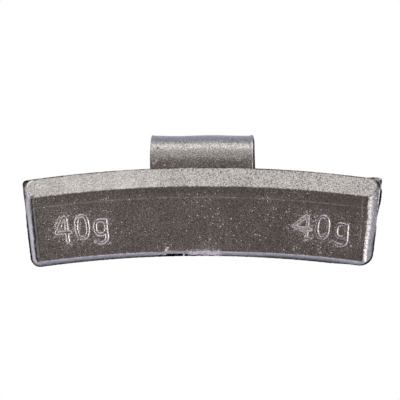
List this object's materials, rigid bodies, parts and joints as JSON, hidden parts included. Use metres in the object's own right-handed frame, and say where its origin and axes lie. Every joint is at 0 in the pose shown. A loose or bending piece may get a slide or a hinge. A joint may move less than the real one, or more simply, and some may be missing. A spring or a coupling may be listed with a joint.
{
  "type": "wheel balance weight",
  "caption": "Arched lead casting with a bevelled top edge and a bent spring steel clip that hooks over the lip of a wheel's rim flange to balance the wheel.",
  "frame": {"origin": "centre of the clip's hook, on the middle of its width, where the lip of the rim flange sits", "axes": "+X along the rim, +Y into the wheel, +Z away from the wheel's hub"},
  "size_m": [0.058, 0.0158, 0.0215],
  "materials": {
    "coated_lead": "thin silver-grey metallic coat over a rough casting",
    "coated_steel": "thin silver-grey metallic coat, bare dark metal along the sheared sides"
  },
  "bodies": {
    "root": {"weight_body": "coated_lead", "rim_clip": "coated_steel"}
  },
  "joints": []
}
